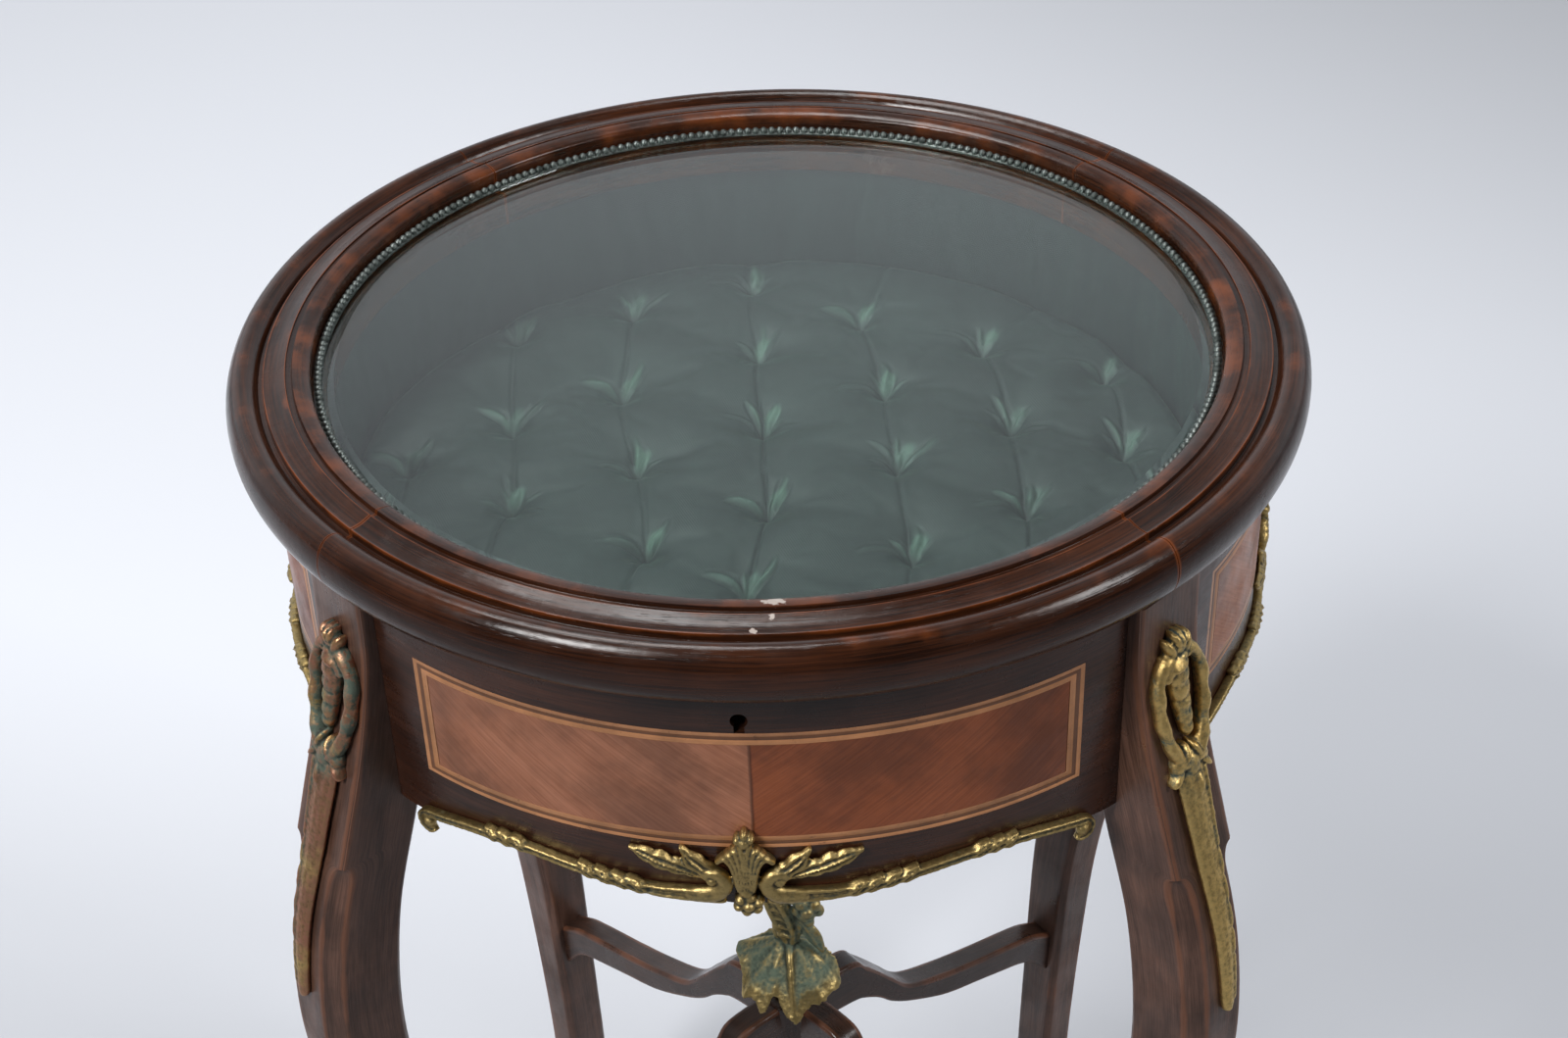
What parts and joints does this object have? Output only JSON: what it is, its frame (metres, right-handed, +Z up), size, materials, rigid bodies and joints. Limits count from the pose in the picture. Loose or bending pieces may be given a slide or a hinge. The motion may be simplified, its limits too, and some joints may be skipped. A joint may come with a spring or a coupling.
{
  "type": "round glazed display table",
  "caption": "Round display table with a hinged glass lid, buttoned silk lining, inlaid apron, curved legs, cast mounts and a shaped stretcher.",
  "frame": {"origin": "on the floor, on the table's vertical axis", "axes": "+X to the table's right seen from the front, +Y from the front to the hinged back, +Z up"},
  "size_m": [0.4982, 0.4982, 0.76],
  "materials": {
    "walnut": "dark polished hardwood",
    "veneer": "polished reddish veneer",
    "stringing": "pale string inlay",
    "board": "plain unpolished board",
    "gilt_brass": "aged gilt casting",
    "patina_brass": "casting with green patina",
    "silvered_brass": "dull silvered moulding",
    "steel": "plain steel",
    "glass": "clear bevelled plate",
    "silk": "dark green silk"
  },
  "bodies": {
    "table": {"hinge_left_case_leaf": "gilt_brass", "hinge_left_pin": "gilt_brass", "hinge_right_case_leaf": "gilt_brass", "hinge_right_pin": "gilt_brass", "leg_front_left": "walnut", "corner_mount_front_left": "gilt_brass", "foot_shoe_front_left": "gilt_brass", "leg_front_right": "walnut", "corner_mount_front_right": "gilt_brass", "foot_shoe_front_right": "gilt_brass", "leg_rear_right": "walnut", "corner_mount_rear_right": "gilt_brass", "foot_shoe_rear_right": "gilt_brass", "leg_rear_left": "walnut", "corner_mount_rear_left": "gilt_brass", "foot_shoe_rear_left": "gilt_brass", "apron_front": "veneer", "string_border_front": "stringing", "apron_mount_front": "gilt_brass", "apron_right": "veneer", "string_border_right": "stringing", "apron_mount_right": "gilt_brass", "apron_back": "veneer", "string_border_back": "stringing", "apron_mount_back": "gilt_brass", "apron_left": "veneer", "string_border_left": "stringing", "apron_mount_left": "gilt_brass", "case_floor": "board", "side_lining": "silk", "buttoned_cushion": "silk", "stretcher_arm_front_left": "walnut", "stretcher_arm_front_right": "walnut", "stretcher_arm_rear_right": "walnut", "stretcher_arm_rear_left": "walnut", "stretcher_hub": "walnut", "leaf_finial": "patina_brass", "lock_case": "gilt_brass"},
    "lid": {"lid_frame_front": "walnut", "lid_frame_right": "walnut", "lid_frame_back": "walnut", "lid_frame_left": "walnut", "lid_glass": "glass", "pearl_moulding": "silvered_brass", "lock_strike": "gilt_brass", "hinge_left_lid_leaf": "gilt_brass", "hinge_right_lid_leaf": "gilt_brass"},
    "bolt": {"lock_bolt": "steel"}
  },
  "joints": [
    {"name": "lid_hinge", "type": "hinge", "parent": "table", "child": "lid", "pos_m": [0, 0.2378, 0.7267], "axis": [-1, 0, 0], "range_deg": [0, 100]},
    {"name": "bolt_slide", "type": "slide", "parent": "table", "child": "bolt", "axis": [0, 0, 1], "range_m": [0, 0.006]}
  ]
}
